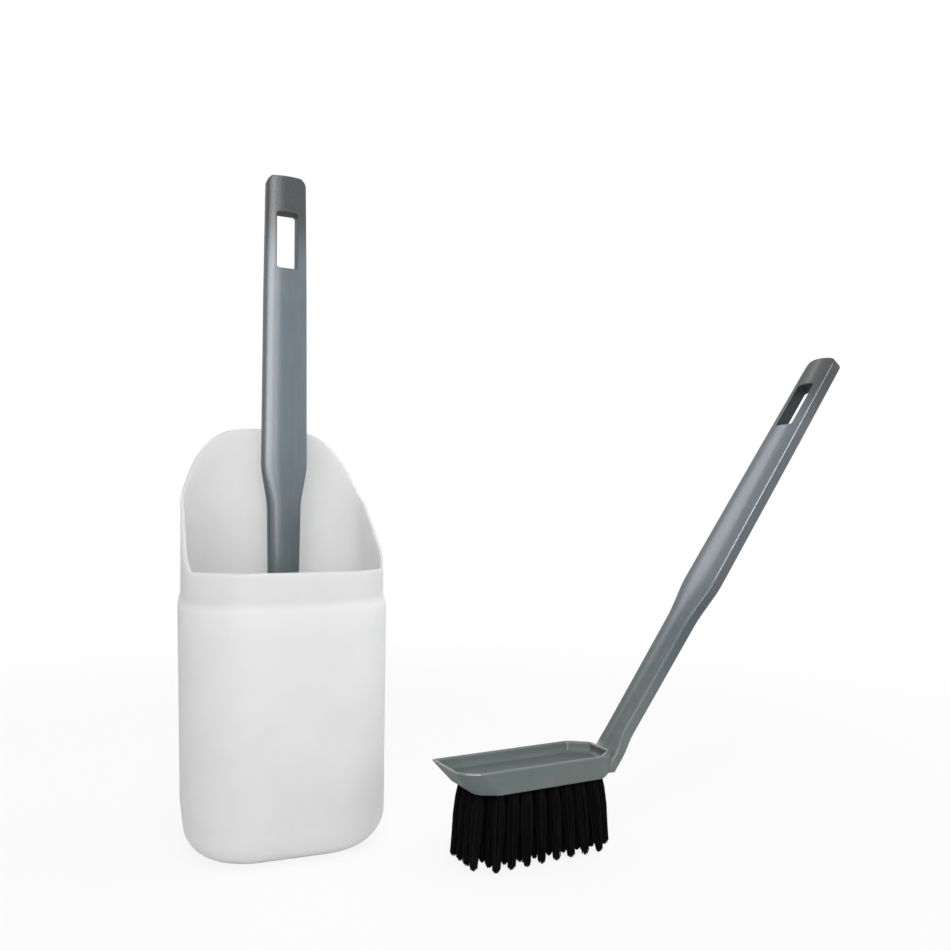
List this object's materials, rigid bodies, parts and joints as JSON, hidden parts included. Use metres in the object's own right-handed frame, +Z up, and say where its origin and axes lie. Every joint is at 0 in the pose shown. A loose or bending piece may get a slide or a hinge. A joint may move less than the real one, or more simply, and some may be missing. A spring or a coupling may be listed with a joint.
{
  "type": "toilet brush with holder",
  "caption": "Bent-handled toilet brush stored upright in a tall milky tub with an arched back, with a matching brush standing on its bristles beside it.",
  "frame": {"origin": "middle of the flat underside of the holder", "axes": "+Z up, -Y towards the holder's low front, +X towards the second brush"},
  "size_m": [0.3871, 0.1587, 0.3721],
  "materials": {
    "milky_plastic": "satin",
    "grey_plastic": "satin",
    "black_bristle": "matte"
  },
  "bodies": {
    "holder": {"holder": "milky_plastic"},
    "stored_brush": {"stored_brush_moulding": "grey_plastic", "stored_brush_tuft_row_01": "black_bristle", "stored_brush_tuft_row_02": "black_bristle", "stored_brush_tuft_row_03": "black_bristle", "stored_brush_tuft_row_04": "black_bristle", "stored_brush_tuft_row_05": "black_bristle", "stored_brush_tuft_row_06": "black_bristle", "stored_brush_tuft_row_07": "black_bristle", "stored_brush_tuft_row_08": "black_bristle", "stored_brush_tuft_row_09": "black_bristle", "stored_brush_tuft_row_10": "black_bristle"},
    "second_brush": {"second_brush_moulding": "grey_plastic", "second_brush_tuft_row_01": "black_bristle", "second_brush_tuft_row_02": "black_bristle", "second_brush_tuft_row_03": "black_bristle", "second_brush_tuft_row_04": "black_bristle", "second_brush_tuft_row_05": "black_bristle", "second_brush_tuft_row_06": "black_bristle", "second_brush_tuft_row_07": "black_bristle", "second_brush_tuft_row_08": "black_bristle", "second_brush_tuft_row_09": "black_bristle", "second_brush_tuft_row_10": "black_bristle"}
  },
  "joints": [
    {"name": "stored_brush_lift", "type": "slide", "parent": "holder", "child": "stored_brush", "axis": [0, 0, 1], "range_m": [0, 0.24]},
    {"name": "second_brush_lift", "type": "slide", "parent": "holder", "child": "second_brush", "axis": [0, 0, 1], "range_m": [0, 0.2]}
  ]
}
